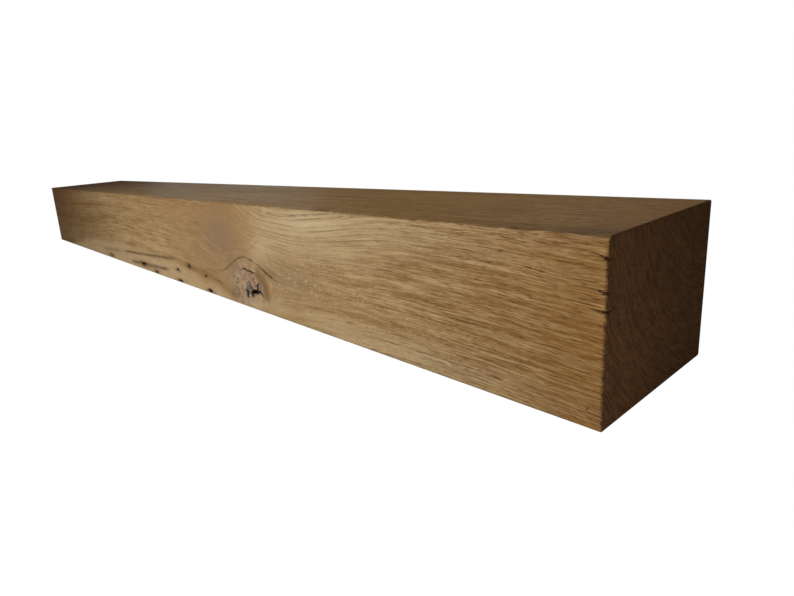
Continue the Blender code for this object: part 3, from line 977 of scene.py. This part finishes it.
ragged_edge = add(tree, "Math", {0: pattern["ragged"], 1: 0.5, 2: 0.5}, operation="MULTIPLY_ADD")
ragged_stain = add(tree, "Math", {0: mark["stained"], 1: ragged_edge}, operation="MULTIPLY")
worn_edge = add(tree, "Math", {0: mark["rubbed"], 1: pattern["ragged"]}, operation="MULTIPLY")
ashen_heart = add(tree, "MapRange", {"Value": mark["ashen"], "From Min": 0.5, "From Max": 1.0})
wood = overlaid(tree, wood, [
    (mark["rusted"], 1.0, "755010"), (specks, 0.8, "474A4A"), (ashen_heart, 1.2, "6D6A63"),
    # Near-black rot, with painted shade where the hollow goes past the cut.
    (mark["rot_and_hole_shade"], 1.3, "1C1D1C"), (ragged_stain, 1.25, "482808"), (worn_edge, 0.6, "4A2E0E"),
    # Near-black painted shade in the openings, checks and tears.
    (mark["openings_painted_shade"], 1.0, "120B06"),
])
print(len(tree.nodes), "nodes with the knot, ends and marks")

# %% [markdown]
# ### Sheen and relief
#
# Oiled oak has a soft sheen. Late wood is smoother, and stands a little proud of the pores, which are rough
# inside. Sawn ends and openings are rough all over.

# %% Sheen and relief
# The pores lie this much below the late wood, in metres.
RELIEF = 0.35 * MM

roughness = add(tree, "Math", {0: pattern["cloud"], 1: 0.1, 2: 0.42}, operation="MULTIPLY_ADD")
roughness = add(tree, "Math", {0: dashes, 1: 0.2, 2: roughness}, operation="MULTIPLY_ADD")
unplaned = add(tree, "Math", {0: mark["end_grain"], 1: mark["openings_painted_shade"]}, operation="MAXIMUM")
roughness = add(tree, "Math", {0: unplaned, 1: 0.38, 2: roughness}, operation="MULTIPLY_ADD")
knot_relief = add(tree, "Math", {0: knot_rings, 1: mark["in_knot"]}, operation="MULTIPLY")
sunk_wood = add(tree, "Math", {0: knot_relief, 1: 0.8, 2: dashes}, operation="MULTIPLY_ADD")
relief = add(tree, "Math", {0: sunk_wood, 1: -1.0}, operation="MULTIPLY")
bump = add(tree, "Bump", {"Height": relief, "Strength": 0.5, "Distance": RELIEF})
for socket, source in {"Base Color": wood, "Roughness": roughness, "Normal": bump}.items():
    tree.links.new(source, shader.inputs[socket])
mesh.materials.append(oak)
print(len(tree.nodes), "nodes in", oak.name)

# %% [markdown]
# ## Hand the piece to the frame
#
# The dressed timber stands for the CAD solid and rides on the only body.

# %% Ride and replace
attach(beam, "root")
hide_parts("oak_beam")

# %% [markdown]
# ## Floor, surroundings and light
#
# The beam lies on a plain pale floor in an equally pale room. To the camera both are pure white, so the
# picture has no horizon, but what they throw back on the wood is weaker, so its shades stay deep. A big soft
# lamp stands in front, nearer to the right half, so the show face is bright there and falls off to the left,
# and the right end stays in shade. Two small warm ones lift the right end's lower corner and the top, a cool
# window behind shines along the top's far end, and two more light the wall face and the left end.

# %% Floor and room
FLOOR_HALF = 8.0
FLOOR_DROP = 0.0003
ROOM_WHITE = 1.0
ROOM_GLOW = 0.08

half, low = FLOOR_HALF, -FLOOR_DROP
floor_mesh = bpy.data.meshes.new("floor")
floor_mesh.from_pydata(
    [(-half, -half, low), (half, -half, low), (half, half, low), (-half, half, low)], [], [(0, 1, 2, 3)]
)
floor = bpy.data.objects.new("floor", floor_mesh)
scene.collection.objects.link(floor)
pale = bpy.data.materials.new("pale_floor")
pale.use_nodes = True
paint = pale.node_tree.nodes["Principled BSDF"]
paint.inputs["Base Color"].default_value = colour("C2C0BC")
paint.inputs["Roughness"].default_value = 0.9
seen = add(pale.node_tree, "LightPath", {}, "Is Camera Ray")
glow = add(pale.node_tree, "Emission", {"Color": colour("FFFFFF"), "Strength": ROOM_WHITE})
bright = add(pale.node_tree, "MixShader", {0: seen, 1: paint.outputs[0], 2: glow})
pale.node_tree.links.new(bright, pale.node_tree.nodes["Material Output"].inputs["Surface"])
floor_mesh.materials.append(pale)

world = bpy.data.worlds.new("pale_room")
scene.world = world
world.use_nodes = True
sky = world.node_tree
to_camera = add(sky, "LightPath", {}, "Is Camera Ray")
strength = add(sky, "Mix", {0: to_camera, 2: ROOM_GLOW, 3: ROOM_WHITE}, 0, data_type="FLOAT")
sky.links.new(strength, sky.nodes["Background"].inputs["Strength"])
tint = add(sky, "Mix", {0: to_camera, 6: colour("FFF6EA"), 7: colour("FFFFFF")}, 2, data_type="RGBA")
sky.links.new(tint, sky.nodes["Background"].inputs["Color"])
print("floor", 2 * FLOOR_HALF, "m wide")

# %% Lamps
def aimed_lamp(name, place, target, width, height, power, tint):
    """A soft rectangular lamp at a place, turned so that it faces the target."""
    lamp = bpy.data.lights.new(name, "AREA")
    lamp.shape, lamp.size, lamp.size_y, lamp.energy = "RECTANGLE", width, height, power
    lamp.color = colour(tint)[:3]
    made = bpy.data.objects.new(name, lamp)
    made.location = place
    made.rotation_mode = "QUATERNION"
    made.rotation_quaternion = (Vector(target) - Vector(place)).to_track_quat("-Z", "Y")
    made.visible_camera = False
    scene.collection.objects.link(made)


# Name, place, target, width, height, watts and tint, with the lengths in metres.
aimed_lamp("front_lamp", (0.22, -1.0, 0.6), (0.2, -0.095, 0.07), 0.9, 0.5, 9.25, "FFFCF6")
aimed_lamp("low_fill_lamp", (1.05, -0.16, 0.02), (0.762, -0.08, 0.01), 0.1, 0.03, 0.4, "FFF0DC")
aimed_lamp("window_lamp", (-2.45, 1.4, 0.55), (-0.1, 0.0, 0.14), 1.1, 0.5, 1.5, "F0F4FF")
aimed_lamp("over_lamp", (0.55, 0.42, 0.7), (0.62, 0.0, 0.145), 0.25, 0.25, 0.7, "FFF0D8")
aimed_lamp("wall_side_lamp", (-0.1, 1.3, 0.075), (-0.1, 0.095, 0.072), 1.6, 0.13, 6.0, "FFFDFA")
aimed_lamp("left_end_lamp", (-1.9, 0.05, 0.075), (-0.762, 0.05, 0.072), 0.3, 0.13, 4.0, "FFFDFA")
scene.view_settings.view_transform = "Standard"
print("lamps set")
